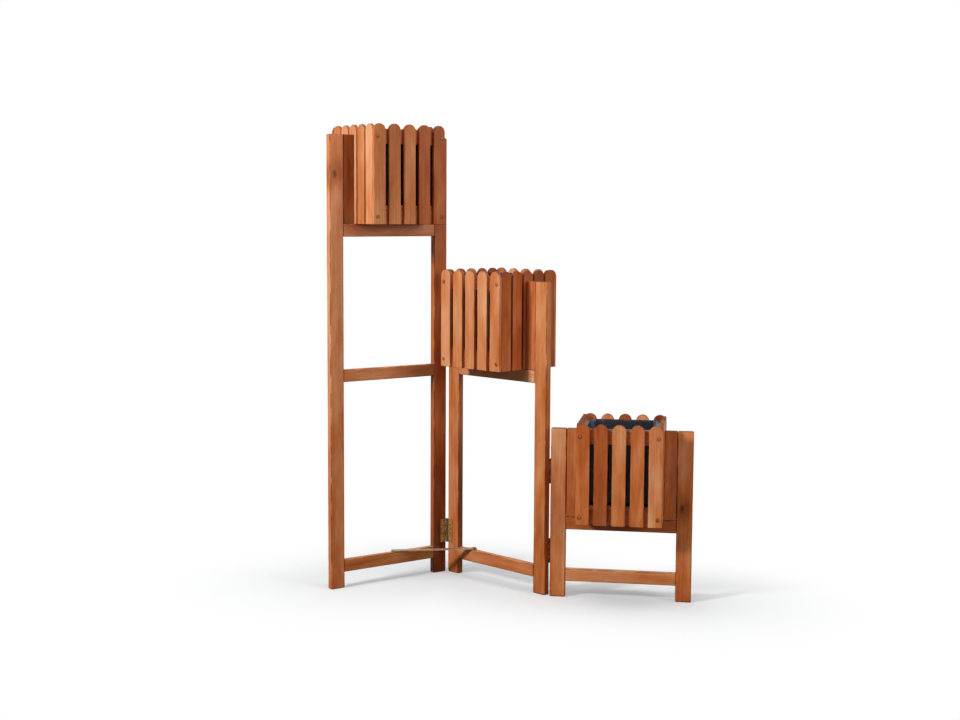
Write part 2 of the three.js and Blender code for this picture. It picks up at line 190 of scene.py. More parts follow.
class Shader:
    """A material, and short ways to add nodes to it."""

    def __init__(self, name):
        self.material = bpy.data.materials.new(name)
        self.material.use_nodes = True
        self.tree = self.material.node_tree
        self.tree.nodes.clear()
        self.output = self.tree.nodes.new("ShaderNodeOutputMaterial")

    def put(self, socket, value):
        if isinstance(value, bpy.types.NodeSocket):
            self.tree.links.new(value, socket)
        elif isinstance(value, tuple) and socket.type == "RGBA" and len(value) == 3:
            socket.default_value = (*value, 1.0)
        else:
            socket.default_value = value

    def add(self, kind, inputs, **settings):
        """Adds a node. Sockets among the inputs are linked, and other values are set."""
        node = self.tree.nodes.new("ShaderNode" + kind)
        for key, value in settings.items():
            setattr(node, key, value)
        for key, value in inputs.items():
            self.put(node.inputs[key], value)
        return node

    def attribute(self, name, output="Vector"):
        return self.add("Attribute", {}, attribute_name=name).outputs[output]

    def math(self, operation, *values, clamp=False):
        inputs = dict(enumerate(values))
        return self.add("Math", inputs, operation=operation, use_clamp=clamp).outputs[0]

    def vector(self, operation, *values, output="Vector"):
        return self.add("VectorMath", dict(enumerate(values)), operation=operation).outputs[output]

    def noise(self, place, stretch, detail=2.0, roughness=0.5, output="Factor"):
        """Noise with the given number of features in a metre along each axis."""
        scaled = self.vector("MULTIPLY", place, stretch)
        inputs = {"Vector": scaled, "Scale": 1.0, "Detail": detail, "Roughness": roughness}
        found = self.add("TexNoise", inputs, noise_dimensions="3D")
        return found.outputs["Color" if output == "Color" else 0]

    def ramp(self, value, low, high, to_low=0.0, to_high=1.0, smooth=True):
        """Takes value from the range low to high into the range to_low to to_high."""
        inputs = {"Value": value, "From Min": low, "From Max": high, "To Min": to_low, "To Max": to_high}
        kind = "SMOOTHSTEP" if smooth else "LINEAR"
        return self.add("MapRange", inputs, interpolation_type=kind).outputs["Result"]

    def colours(self, value, stops):
        """A colour ramp through (place, colour) stops."""
        node = self.add("ValToRGB", {"Fac": value})
        points = node.color_ramp.elements
        while len(points) < len(stops):
            points.new(0.5)
        for point, (place, colour) in zip(points, stops, strict=True):
            point.position = place
            point.color = (*colour, 1.0)
        return node.outputs["Color"]

    def mix(self, share, first, second, blend="MIX"):
        node = self.add("Mix", {}, data_type="RGBA", blend_type=blend)
        for socket, value in zip((node.inputs[0], node.inputs[6], node.inputs[7]), (share, first, second)):
            self.put(socket, value)
        return node.outputs[2]

    def surface(self, **inputs):
        shader = self.add("BsdfPrincipled", {})
        for key, value in inputs.items():
            self.put(shader.inputs[key.replace("_", " ")], value)
        self.tree.links.new(shader.outputs[0], self.output.inputs["Surface"])
        return self.material

    def bump(self, height, strength, distance):
        return self.add("Bump", {"Height": height, "Strength": strength, "Distance": distance}).outputs[0]


# ---- Materials ----

GOLDEN = (
    (0.00, linear(56, 25, 9)),
    (0.30, linear(124, 64, 25)),
    (0.55, linear(185, 112, 57)),
    (0.68, linear(201, 138, 94)),
    (0.80, linear(211, 156, 116)),
    (1.00, linear(230, 186, 146)),
)
RUSSET = (
    (0.00, linear(50, 19, 7)),
    (0.30, linear(113, 47, 15)),
    (0.55, linear(173, 86, 37)),
    (0.68, linear(191, 111, 69)),
    (0.80, linear(203, 132, 95)),
    (1.00, linear(220, 158, 124)),
)


def oiled_wood(name, gloss):
    """Oiled hardwood. The grain runs along X of the place that each point has in its own board."""
    s = Shader(name)
    place = s.attribute("grain")
    knot = s.attribute("knot")
    tint = s.add("SeparateXYZ", {"Vector": s.attribute("tint")}).outputs
    edge = s.attribute("edge", "Fac")

    # Growth rings round the pith, bent along the board and round a knot
    bend = s.vector("SUBTRACT", s.noise(place, (1.6, 11, 11), output="Color"), (0.5, 0.5, 0.5))
    bent = s.vector("ADD", place, s.vector("MULTIPLY", bend, (0.0, 0.026, 0.026)))
    across = s.vector("LENGTH", s.vector("MULTIPLY", bent, (0.0, 1.0, 1.0)), output="Value")
    reach = s.vector("LENGTH", s.vector("MULTIPLY", knot, (0.55, 1.0, 1.0)), output="Value")
    around = s.ramp(reach, 0.0, 0.018, 0.008, 0.0)
    phase = s.math("DIVIDE", s.math("ADD", across, around), 0.0052)
    rings = s.math("MULTIPLY_ADD", s.math("SINE", s.math("MULTIPLY", phase, math.tau)), 0.5, 0.5)
    rings = s.math("POWER", rings, 1.6)
    ring_share = s.ramp(s.noise(place, (2.5, 22, 22)), 0.35, 0.7, 0.01, 0.06)

    cloud = s.noise(place, (4.5, 16, 16), detail=2.0)
    mottle = s.noise(place, (13, 46, 46), detail=3.0, roughness=0.55)
    streak = s.noise(bent, (3.2, 170, 170), detail=3.0, roughness=0.62)
    fibre = s.noise(bent, (16, 1100, 1100), detail=2.0)
    pores = s.ramp(s.noise(bent, (60, 1500, 1500)), 0.62, 0.72)
    vein = s.ramp(s.noise(bent, (1.8, 62, 62), detail=2.0), 0.60, 0.76)
    core = s.ramp(reach, 0.0010, 0.0085, 1.0, 0.0)
    halo = s.ramp(reach, 0.002, 0.034, 0.22, 0.0)

    # Painted shade round each screw, in place of the shadow of a countersunk recess
    screw = s.add("SeparateXYZ", {"Vector": s.attribute("screw")}).outputs
    along = s.math("MINIMUM", s.math("ABSOLUTE", screw["X"]), s.math("ABSOLUTE", screw["Y"]))
    off_screw = s.math("SQRT", s.math("ADD", s.math("POWER", along, 2.0), s.math("POWER", screw["Z"], 2.0)))
    screw_recess_shade = s.ramp(off_screw, 4.0 * MM, 6.2 * MM, 0.36, 0.0)

    value = s.math("MULTIPLY_ADD", s.math("SUBTRACT", cloud, 0.5), 0.34, tint["X"])
    value = s.math("MULTIPLY_ADD", s.math("SUBTRACT", mottle, 0.5), 0.26, value)
    value = s.math("MULTIPLY_ADD", s.math("SUBTRACT", streak, 0.5), 0.17, value)
    value = s.math("MULTIPLY_ADD", s.math("SUBTRACT", fibre, 0.5), 0.14, value)
    value = s.math("SUBTRACT", value, s.math("MULTIPLY", rings, ring_share))
    value = s.math("MULTIPLY_ADD", pores, -0.10, value)
    value = s.math("MULTIPLY_ADD", vein, -0.09, value)
    value = s.math("SUBTRACT", value, halo)
    value = s.math("MULTIPLY_ADD", core, -0.28, value)
    value = s.math("SUBTRACT", value, screw_recess_shade)
    # End grain is darker: partly its own colour, partly painted shade on the tops that the overhead lamp
    # lights
    value = s.math("MULTIPLY_ADD", tint["Z"], -0.36, value)

    # Edges are rubbed pale in places, and elsewhere darkened with painted shade that outlines the boards
    # where they meet
    rubbed_and_shaded = s.ramp(s.noise(place, (24, 60, 60), detail=3.0), 0.44, 0.66, -0.34, 0.04)
    value = s.math("MULTIPLY_ADD", edge, rubbed_and_shaded, value, clamp=True)

    redness = s.math("MULTIPLY_ADD", s.math("SUBTRACT", cloud, 0.5), -1.4, tint["Y"])
    redness = s.math("MULTIPLY_ADD", s.math("SUBTRACT", mottle, 0.5), -0.6, redness, clamp=True)
    colour = s.mix(redness, s.colours(value, GOLDEN), s.colours(value, RUSSET))

    # Where the oil has dried out, the wood is greyer and duller
    dry = s.ramp(s.noise(place, (9, 24, 24), detail=3.0, roughness=0.6), 0.46, 0.74)
    colour = s.mix(s.math("MULTIPLY", dry, 0.28), colour, linear(177, 120, 92))
    # End grain is greyer as well: partly its own colour, partly painted shade on the lit tops
    colour = s.mix(s.math("MULTIPLY", tint["Z"], 0.5), colour, linear(76, 54, 42))

    roughness = s.math("MULTIPLY_ADD", streak, 0.16, gloss)
    roughness = s.math("MULTIPLY_ADD", dry, 0.16, roughness)
    roughness = s.math("MULTIPLY_ADD", tint["Z"], 0.2, roughness)
    height = s.math("MULTIPLY_ADD", rings, -0.25, fibre)
    height = s.math("MULTIPLY_ADD", pores, -0.6, height)
    height = s.math("MULTIPLY_ADD", streak, 0.5, height)
    normal = s.bump(height, 0.35, 0.25 * MM)
    return s.surface(Base_Color=colour, Roughness=roughness, Normal=normal, Specular_IOR_Level=0.15)


def black_film():
    """Black plastic film with fine creases and a little dust, and a painted highlight along its hard folds.
    """
    s = Shader("liner_film")
    place = s.add("TexCoord", {}).outputs["Object"]
    creases = s.noise(place, (90, 90, 34), detail=5.0, roughness=0.62)
    dust = s.ramp(s.noise(place, (45, 45, 45), detail=4.0), 0.5, 0.78)
    colour = s.mix(dust, linear(46, 45, 52), linear(70, 65, 67))
    # A painted highlight along the film's corner folds
    fold = s.math("MULTIPLY", s.attribute("fold", "Fac"), s.ramp(creases, 0.3, 0.6, 0.15, 0.55))
    colour = s.mix(fold, colour, linear(128, 128, 134))
    roughness = s.math("MULTIPLY_ADD", dust, 0.2, 0.24)
    normal = s.bump(creases, 0.4, 1.2 * MM)
    return s.surface(Base_Color=colour, Roughness=roughness, Normal=normal, Specular_IOR_Level=0.08)


def aged_metal(name, clean, stained, gloss, barrel=0.0):
    """Metal that is bright where it is handled and stained elsewhere, with fine scratches.

    A hinge's barrel is darker than its leaves by the share given, as painted shade, and screw heads set in
    them are paler.
    """
    s = Shader(name)
    place = s.add("TexCoord", {}).outputs["Object"]
    cloud = s.ramp(s.noise(place, (160, 160, 160), detail=4.0, roughness=0.6), 0.38, 0.66)
    speck = s.ramp(s.noise(place, (900, 900, 900), detail=2.0), 0.55, 0.75)
    scratch = s.noise(place, (2400, 2400, 220), detail=2.0)
    colour = s.mix(cloud, clean, stained)
    if barrel:
        # Painted shade on the barrel, darker towards its axis
        radius = s.vector("LENGTH", s.vector("MULTIPLY", place, (1.0, 1.0, 0.0)), output="Value")
        colour = s.mix(s.ramp(radius, 3.0 * MM, 3.8 * MM, barrel, 0.0), colour, linear(34, 22, 14))
        colour = s.mix(s.math("MULTIPLY", s.attribute("head", "Fac"), 0.8), colour, linear(204, 170, 122))
    colour = s.mix(s.math("MULTIPLY", speck, 0.45), colour, linear(46, 30, 20))
    roughness = s.math("MULTIPLY_ADD", cloud, 0.2, gloss)
    roughness = s.math("MULTIPLY_ADD", scratch, 0.12, roughness)
    normal = s.bump(s.math("MULTIPLY_ADD", speck, -0.8, scratch), 0.25, 0.08 * MM)
    return s.surface(Base_Color=colour, Roughness=roughness, Normal=normal, Metallic=0.9)


frame_wood = oiled_wood("frame_wood", 0.34)
planter_wood = oiled_wood("planter_wood", 0.38)
liner_film = black_film()
screw_brass = aged_metal("screw_brass", linear(158, 112, 72), linear(104, 66, 38), 0.46)
hinge_brass = aged_metal("hinge_brass", linear(180, 137, 82), linear(126, 93, 51), 0.5, barrel=0.6)
bar_brass = aged_metal("bar_brass", linear(168, 144, 114), linear(132, 108, 82), 0.44)
steel = aged_metal("steel", linear(186, 176, 160), linear(118, 98, 78), 0.36)

# ---- Mesh helpers ----


def mesh_of(name, points, faces):
    mesh = bpy.data.meshes.new(name)
    mesh.from_pydata([tuple(p) for p in points], [], faces)
    mesh.validate()
    mesh.update()
    return mesh


def add_piece(name, mesh, body, material, replaced, place=None):
    """Adds a mesh that is drawn in its body's own axes, or in those that place gives."""
    mesh.materials.clear()
    mesh.materials.append(material)
    mesh.shade_smooth()
    piece = bpy.data.objects.new(name, mesh)
    bpy.context.scene.collection.objects.link(piece)
    piece.matrix_world = axes_of(body) if place is None else place
    weighted = piece.modifiers.new("flat faces stay flat", "WEIGHTED_NORMAL")
    weighted.weight = 100
    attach(piece, body)
    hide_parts(*replaced)
    return piece


def merged(name, parts):
    """One mesh of (mesh, matrix, head) parts, where head is 1 for a screw's head."""
    points = []
    faces = []
    heads = []
    for mesh, matrix, head in parts:
        start = len(points)
        points += [matrix @ vertex.co for vertex in mesh.vertices]
        heads += [float(head)] * len(mesh.vertices)
        turn = -1 if matrix.determinant() < 0 else 1
        faces += [tuple(start + i for i in face.vertices)[::turn] for face in mesh.polygons]
    whole = mesh_of(name, points, faces)
    whole.attributes.new("head", "FLOAT", "POINT").data.foreach_set("value", heads)
    return whole


def evaluated(data):
    """The finished mesh of a curve."""
    carrier = bpy.data.objects.new("carrier", data)
    mesh = bpy.data.meshes.new_from_object(carrier)
    bpy.data.objects.remove(carrier)
    return mesh


def circle(x, y, radius, steps=ROUND_STEPS):
    turns = [math.tau * i / steps for i in range(steps)]
    return [(x + radius * math.cos(t), y + radius * math.sin(t)) for t in turns]


def arc(x, y, radius, start, end, steps):
    turns = [math.radians(start + (end - start) * i / steps) for i in range(steps + 1)]
    return [(x + radius * math.cos(t), y + radius * math.sin(t)) for t in turns]


def plate(outline, holes, thickness):
    """A flat plate on the plane z = 0 with small rounded edges, from loops of (x, y) points."""
    curve = bpy.data.curves.new("plate", "CURVE")
    curve.dimensions = "2D"
    curve.fill_mode = "BOTH"
    curve.extrude = thickness / 2 - METAL_EDGE
    curve.bevel_depth = METAL_EDGE
    curve.bevel_resolution = 2
    curve.offset = -METAL_EDGE
    for loop in (outline, *holes):
        spline = curve.splines.new("POLY")
        spline.points.add(len(loop) - 1)
        spline.use_cyclic_u = True
        for point, (x, y) in zip(spline.points, loop, strict=True):
            point.co = (x, y, 0.0, 1.0)
    mesh = evaluated(curve)
    mesh.transform(Matrix.Translation((0, 0, thickness / 2)))
    return mesh


def lathe(profile, steps=ROUND_STEPS):
    """A solid turned about Z from (radius, z) points that start and end on the axis."""
    points = [Vector((0, 0, profile[0][1]))]
    for radius, z in profile[1:-1]:
        points += [Vector((x, y, z)) for x, y in circle(0, 0, radius, steps)]
    points.append(Vector((0, 0, profile[-1][1])))
    last = len(points) - 1
    rings = [1 + k * steps for k in range(len(profile) - 2)]
    faces = [(0, rings[0] + (i + 1) % steps, rings[0] + i) for i in range(steps)]
    for low, high in zip(rings, rings[1:]):
        for i in range(steps):
            j = (i + 1) % steps
            faces.append((low + i, low + j, high + j, high + i))
    faces += [(last, rings[-1] + i, rings[-1] + (i + 1) % steps) for i in range(steps)]
    return mesh_of("turned", points, faces)


@functools.cache
def cross_screw(radius, rise, sink):
    """A low domed screw head on the plane z = 0, with a cross recess. It sinks below that plane."""
    dome = [(radius * math.cos(t), rise * (0.25 + 0.75 * math.sin(t))) for t in np.linspace(0, 1.45, 7)]
    head = lathe([(0, -sink), (radius * 0.8, -sink), (radius, 0), *dome, (0, rise)])
    arm = radius * 0.6
    half = radius * 0.13
    floor = rise - 0.55 * radius
    tool_points = []
    tool_faces = []
    for x, y in ((arm, half), (half, arm)):
        start = len(tool_points)
        for z, share in ((floor, 0.55), (rise + radius, 1.25)):
            tool_points += [(-x * share, -y, z), (x * share, -y, z), (x * share, y, z), (-x * share, y, z)]
        sides = [(i, (i + 1) % 4, (i + 1) % 4 + 4, i + 4) for i in range(4)]
        box = [(3, 2, 1, 0), (4, 5, 6, 7), *sides]
        tool_faces += [tuple(start + i for i in face) for face in box]
    carrier = bpy.data.objects.new("head", head)
    tool = bpy.data.objects.new("recess", mesh_of("recess", tool_points, tool_faces))
    for thing in (carrier, tool):
        bpy.context.scene.collection.objects.link(thing)
    cutting = carrier.modifiers.new("recess", "BOOLEAN")
    cutting.object = tool
    cutting.solver = "EXACT"
    cutting.use_self = True
    shown = carrier.evaluated_get(bpy.context.evaluated_depsgraph_get())
    mesh = bpy.data.meshes.new_from_object(shown)
    for thing in (carrier, tool):
        bpy.data.objects.remove(thing)
    return mesh


# ---- Boards ----

# A board is drawn along X. UPRIGHT stands it on end, its width along X and its thickness along Y.
UPRIGHT = Matrix(((0, 1, 0, 0), (0, 0, 1, 0), (1, 0, 0, 0), (0, 0, 0, 1)))


class Timber:
    """The boards of one piece, with each point's place in its own board for the wood material."""

    def __init__(self, name):
        self.chance = random.Random(zlib.crc32(name.encode()))
        self.name = name
        self.points = []
        self.faces = []
        self.marks = {"grain": [], "knot": [], "tint": [], "screw": [], "edge": []}

    def add(self, board, place, tone, knot=None, screws=None, foot=0.0):
        """Adds a board of (points, faces, edge weights, end weights).

        A knot is a point on its X and Y. Its two screws are given as (lower X, upper X, Y). Its start is
        darker by foot.
        """
        points, faces, edges, ends = board
        start = len(self.points)
        lightness, redness = TONES[tone]
        lightness += self.chance.uniform(-0.03, 0.03)
        redness += self.chance.uniform(-0.1, 0.1)
        side = self.chance.choice((-1, 1))
        pith = Vector((self.chance.uniform(0, 9), side * self.chance.uniform(15, 60) * MM, 0))
        pith.z = self.chance.uniform(18, 80) * MM
        wear = self.chance.uniform(0, 50)
        for point, edge, end in zip(points, edges, ends, strict=True):
            self.marks["grain"].append(point + pith)
            dark = foot * max(0.0, 1 - point.x / FOOT_REACH)
            self.marks["tint"].append((lightness - dark, redness + 4 * dark, end))
            self.marks["edge"].append(edge)
            off = Vector((point.x - knot[0], point.y - knot[1], 0)) if knot else Vector((1, 1, 0))
            self.marks["knot"].append(off)
            low, high, y = screws or (9, 9, 9)
            self.marks["screw"].append((point.x - low, point.x - high, point.y - y))
            self.points.append(place @ worn(point, points, edge, wear))
        self.faces += [tuple(start + i for i in face) for face in faces]

    def mesh(self):
        mesh = mesh_of(self.name, self.points, self.faces)
        for name, values in self.marks.items():
            kind, key, width = ("FLOAT", "value", 1) if name == "edge" else ("FLOAT_VECTOR", "vector", 3)
            layer = mesh.attributes.new(name, kind, "POINT")
            flat = np.array([tuple(v) if width == 3 else v for v in values], np.float32).ravel()
            layer.data.foreach_set(key, flat)
        return mesh


def worn(point, points, edge, seed):
    """Moves a point on a rounded edge a little inwards where the edge is dented."""
    if edge == 0:
        return point
    middle = (points[0] + points[-1]) / 2
    dent = noise.noise(Vector((point.x * 38, seed + point.y * 120, point.z * 120)))
    inwards = Vector((0, middle.y - point.y, middle.z - point.z)).normalized()
    return point + inwards * max(0.0, dent - 0.12) * edge * WEAR_DEPTH


def stations(length, ease):
    """(place, inset) of each ring of points along a bar."""
    turns = [math.pi / 2 * i / EASE_STEPS for i in range(EASE_STEPS + 1)]
    foot = [(ease * (1 - math.cos(t)), ease * (1 - math.sin(t))) for t in turns]
    count = max(1, round(length / STATION_STEP))
    between = [(ease + (length - 2 * ease) * i / count, 0.0) for i in range(1, count)]
    head = [(length - x, inset) for x, inset in reversed(foot)]
    return foot + between + head


def bar(length, width, depth, edge, ease):
    """A bar from the origin along X, with rounded edges and eased ends."""
    corners = []
    for quarter, sides in enumerate(((1, 1), (0, 1), (0, 0), (1, 0))):
        for i in range(CORNER_STEPS + 1):
            turn = math.pi / 2 * (quarter + i / CORNER_STEPS)
            corners.append((*sides, turn, math.sin(math.pi * i / CORNER_STEPS)))
    rings = stations(length, ease)
    points = []
    edges = []
    ends = []
    for x, inset in rings:
        radius = max(edge - inset, 0.2 * edge)
        deep = inset + radius
        for side_y, side_z, turn, weight in corners:
            y = (width - deep if side_y else deep) + radius * math.cos(turn)
            z = (depth - deep if side_z else deep) + radius * math.sin(turn)
            points.append(Vector((x, y, z)))
            edges.append(weight if inset == 0 else 0.0)
            ends.append(min(1.0, inset / (0.5 * ease)))
    around = len(corners)
    faces = [tuple(reversed(range(around)))]
    for k in range(len(rings) - 1):
        for i in range(around):
            j = (i + 1) % around
            faces.append((k * around + i, k * around + j, (k + 1) * around + j, (k + 1) * around + i))
    last = (len(rings) - 1) * around
    faces.append(tuple(range(last, last + around)))
    return points, faces, edges, ends


def picket(height):
    """A picket along X from its foot to its round top. Its outer face is at z = 0."""
    radius = PICKET_WIDTH / 2
    straight = height - radius
    places = [0.0, 1.5 * MM]
    count = round(straight / STATION_STEP)
    places += [straight * i / count for i in range(1, count)]
    outline = [(x, 0.0, 0.0, -1.0) for x in places]
    for i in range(ARC_STEPS + 1):
        turn = math.pi * (i / ARC_STEPS - 0.5)
        outline.append((straight + radius * math.cos(turn), radius + radius * math.sin(turn),
                        math.cos(turn), math.sin(turn)))
    outline += [(x, PICKET_WIDTH, 0.0, 1.0) for x in reversed(places)]
    outline[0] = (0.0, 0.0, -1.0, -1.0)
    outline[-1] = (0.0, PICKET_WIDTH, -1.0, 1.0)
    edge = THIN_EDGE
    layers = [(edge, 0.0, 0.0), (edge * 0.3, edge * 0.3, 1.0), (0.0, edge, 0.0)]
    layers += [(inset, PICKET_THICKNESS - z, weight) for inset, z, weight in reversed(layers)]
    points = []
    edges = []
    ends = []
    for inset, z, weight in layers:
        for x, y, out_x, out_y in outline:
            points.append(Vector((x - out_x * inset, y - out_y * inset, z)))
            edges.append(weight)
            ends.append(abs(out_x) * (1 - inset / edge))
    around = len(outline)
    faces = [tuple(reversed(range(around)))]
    for k in range(len(layers) - 1):
        for i in range(around):
            j = (i + 1) % around
            faces.append((k * around + i, k * around + j, (k + 1) * around + j, (k + 1) * around + i))
    last = (len(layers) - 1) * around
    faces.append(tuple(range(last, last + around)))
    return points, faces, edges, ends


# ---- Ladder frames ----

# The tone of each board, and where a knot shows on it: its height and its place across the board.
POST_TONES = {
    "tall_left_post": "sand",
    "tall_right_post": "rust",
    "middle_left_post": "sand",
    "middle_right_post": "amber",
    "low_left_post": "honey",
    "low_right_post": "sand",
}
RAIL_TONES = {
    "tall_top_rail": "rose",
    "tall_middle_rail": "amber",
    "tall_bottom_rail": "amber",
    "middle_top_rail": "sand",
    "middle_bottom_rail": "rose",
    "low_top_rail": "russet",
    "low_bottom_rail": "sand",
}
FILLER_TONES = {
    "tall_left_filler": "umber",
    "tall_right_filler": "umber",
    "middle_left_filler": "brown",
    "middle_right_filler": "rose",
    "low_left_filler": "amber",
    "low_right_filler": "russet",
}
KNOTS = {
    "tall_left_post": (1076 * MM, 14 * MM),
    "low_right_post": (240 * MM, 14 * MM),
}


def add_board(node, body, size, corner, place, edge, ease, tone, foot=0.0):
    board = Timber(node)
    board.add(bar(*size, edge, ease), Matrix.Translation(corner) @ place, tone, KNOTS.get(node), foot=foot)
    add_piece(node + "_board", board.mesh(), body, frame_wood, [node])


def add_frame(name):
    body = name + "_frame"
    for node, tone in POST_TONES.items():
        if node.startswith(name):
            low, high = own_box(node, body)
            width, depth, height = high - low
            size = (height, width, depth)
            add_board(node, body, size, low, UPRIGHT, TIMBER_EDGE, POST_EASE, tone, FOOT_DARKENING)
    for node, tone in RAIL_TONES.items():
        if node.startswith(name):
            low, high = own_box(node, body)
            low.x += TENON_LENGTH
            high.x -= TENON_LENGTH
            add_board(node, body, high - low, low, Matrix(), TIMBER_EDGE, RAIL_EASE, tone)
    for node, tone in FILLER_TONES.items():
        if node.startswith(name):
            low, high = own_box(node, body)
            width, depth, height = high - low
            size = (height, width, depth)
            add_board(node, body, size, low, UPRIGHT, FILLER_EDGE, FILLER_EDGE, tone)


# ---- Planters ----

# The pickets' tones on each panel, from left to right as it is seen from outside. The dark, red tones of the
# middle planter's right side, which faces away from the key lamp, are painted shade.
PANEL_TONES = {
    "tall_planter_front": ("amber", "brown", "amber", "rust", "rust"),
    "tall_planter_left_side": ("rose", "sand", "pale", "amber", "pale"),
    "middle_planter_front": ("sand", "sand", "sand", "sand", "rose"),
    "middle_planter_right_side": ("russet", "russet", "rust", "umber", "rust"),
    "low_planter_front": ("russet", "rust", "amber", "russet", "sand"),
    "low_planter_left_side": ("brown", "russet", "brown", "amber", "brown"),
}


def panel_wood(name, width, batten_short):
    """Pickets on two battens, its outer face at y = 0 and its left foot at the origin."""
    boards = Timber(name)
    choice = [boards.chance.choice(list(TONES)) for _ in range(PICKETS)]
    tones = PANEL_TONES.get(name, choice)
    pitch = (width - PICKET_WIDTH) / (PICKETS - 1)
    insets = {0: PANEL_SCREW_INSET, PICKETS - 1: PICKET_WIDTH - PANEL_SCREW_INSET} if batten_short else {}
    for i, tone in enumerate(tones):
        short = boards.chance.uniform(0, PICKET_SLACK)
        aside = boards.chance.uniform(-0.5, 0.5) * PICKET_SLACK if 0 < i < PICKETS - 1 else 0.0
        place = Matrix.Translation((i * pitch + aside, 0, 0)) @ UPRIGHT
        screws = (*SCREW_HEIGHTS, insets[i]) if i in insets else None
        boards.add(picket(PICKET_HEIGHT - short), place, tone, screws=screws)
    for z in (LOWER_BATTEN_LIFT, PICKET_HEIGHT - UPPER_BATTEN_DROP - BATTEN_HEIGHT):
        length = width - 2 * batten_short
        batten = bar(length, BATTEN_THICKNESS, BATTEN_HEIGHT, THIN_EDGE, THIN_EDGE)
        boards.add(batten, Matrix.Translation((batten_short, PICKET_THICKNESS, z)), "russet")
    return boards.mesh()


def panel_screws(width):
    """Four screws through the outer pickets of a panel."""
    head = cross_screw(PANEL_SCREW_RADIUS, PANEL_SCREW_RISE, 0.8 * MM)
    outwards = Matrix.Rotation(math.pi / 2, 4, "X")
    parts = []
    for x in (PANEL_SCREW_INSET, width - PANEL_SCREW_INSET):
        for z in SCREW_HEIGHTS:
            spin = Matrix.Rotation(37 * x + 91 * z, 4, "Y")
            parts.append((head, Matrix.Translation((x, 0, z)) @ spin @ outwards, 1))
    return merged("screws", parts)


def add_planter(name):
    body = name + "_frame"
    liner = name + "_planter_liner"
    low, high = own_box(liner, body)
    feet = own_box(name + "_planter_front", body)[0].z
    centre = Matrix.Translation(((low.x + high.x) / 2, (low.y + high.y) / 2, feet))
    side_width = PLANTER_DEPTH - 2 * (PICKET_THICKNESS + FIT)
    sides = {"front": 0, "right_side": 90, "back": 180, "left_side": 270}
    for side, degrees in sides.items():
        lengthwise = side in ("front", "back")
        width, out = (PLANTER_WIDTH, PLANTER_DEPTH / 2) if lengthwise else (side_width, PLANTER_WIDTH / 2)
        node = name + "_planter_" + side
        turn = Matrix.Rotation(math.radians(degrees), 4, "Z")
        place = axes_of(body) @ centre @ turn @ Matrix.Translation((-width / 2, -out, 0))
        wood = panel_wood(node, width, WALL_THICKNESS + FIT if lengthwise else 0.0)
        add_piece(node + "_boards", wood, body, planter_wood, [node], place)
        if lengthwise:
            screws = panel_screws(width)
            add_piece(node + "_screws", screws, body, screw_brass, [node], place)
    floor = add_floor(name, body, axes_of(body) @ centre)
    add_liner(name, body, axes_of(body) @ centre, feet)


def add_floor(name, body, place):
    """Slats on two cleats, drawn about the planter's middle."""
    node = name + "_planter_floor"
    low, high = own_box(node, body)
    length, depth, _ = high - low
    bottom = low.z - own_box(name + "_planter_front", body)[0].z
    boards = Timber(node)
    slat_width = (depth - (SLATS - 1) * SLAT_GAP) / SLATS
    for i in range(SLATS):
        slat = bar(length, slat_width, SLAT_THICKNESS, THIN_EDGE, THIN_EDGE)
        front = -depth / 2 + i * (slat_width + SLAT_GAP)
        corner = (-length / 2, front, bottom + SLAT_THICKNESS)
        boards.add(slat, Matrix.Translation(corner), boards.chance.choice(("amber", "brown", "russet")))
    reach = PLANTER_DEPTH - 2 * (WALL_THICKNESS + FIT)
    for side in (-1, 1):
        cleat = bar(reach, CLEAT_WIDTH, SLAT_THICKNESS, THIN_EDGE, THIN_EDGE)
        corner = Matrix.Translation((side * length / 4 + CLEAT_WIDTH / 2, -reach / 2, bottom))
        boards.add(cleat, corner @ Matrix.Rotation(math.pi / 2, 4, "Z"), "brown")
    return add_piece(node + "_boards", boards.mesh(), body, planter_wood, [node], place)


# ---- Film liners ----

LINER_STEP = 6 * MM
LINER_CORNER = 7 * MM
LINER_SAG = 2.6 * MM  # how far the rim dips between its staples
STAPLE_PITCH = 42 * MM


def rounded_square(half_x, half_y, radius):
    """(x, y, corner weight) points round a square with soft corners, one for every step."""
    corners = ((1, 1, 0), (-1, 1, 90), (-1, -1, 180), (1, -1, 270))
    turns = [
        arc(x * (half_x - radius), y * (half_y - radius), radius, start, start + 90, 4)
        for x, y, start in corners
    ]
    loop = []
    for turn, following in zip(turns, turns[1:] + turns[:1]):
        loop += [(x, y, 1.0) for x, y in turn]
        (from_x, from_y), (to_x, to_y) = turn[-1], following[0]
        count = round(math.hypot(to_x - from_x, to_y - from_y) / LINER_STEP)
        for i in range(1, count):
            share = i / count
            loop.append((from_x + (to_x - from_x) * share, from_y + (to_y - from_y) * share, 0.0))
    return loop


